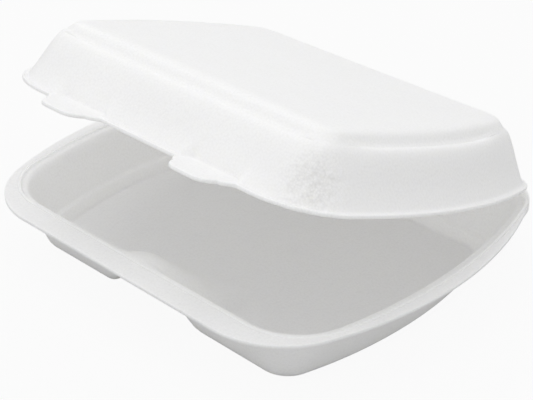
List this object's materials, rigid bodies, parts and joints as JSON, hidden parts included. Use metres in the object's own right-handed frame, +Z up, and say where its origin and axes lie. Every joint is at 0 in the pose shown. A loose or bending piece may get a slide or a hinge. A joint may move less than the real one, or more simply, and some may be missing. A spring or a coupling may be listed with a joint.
{
  "type": "foam clamshell food container",
  "caption": "White foam clamshell meal box: deep tray with a bowed rim, domed stepped lid on a back crease, front closing tabs.",
  "frame": {"origin": "centre of the tray's flat underside, on the surface that it stands on, under the centre of its rim", "axes": "+Z up, +X to the right along the crease, +Y from the front tabs back to the crease"},
  "size_m": [0.24, 0.201, 0.1146],
  "materials": {
    "foam": "matte, faintly beaded expanded foam"
  },
  "bodies": {
    "tray": {"tray": "foam"},
    "lid": {"lid": "foam"}
  },
  "joints": [
    {"name": "lid_hinge", "type": "hinge", "parent": "tray", "child": "lid", "pos_m": [0, 0.1028, 0.03315], "axis": [-1, 0, 0], "range_deg": [-18, 162]}
  ]
}
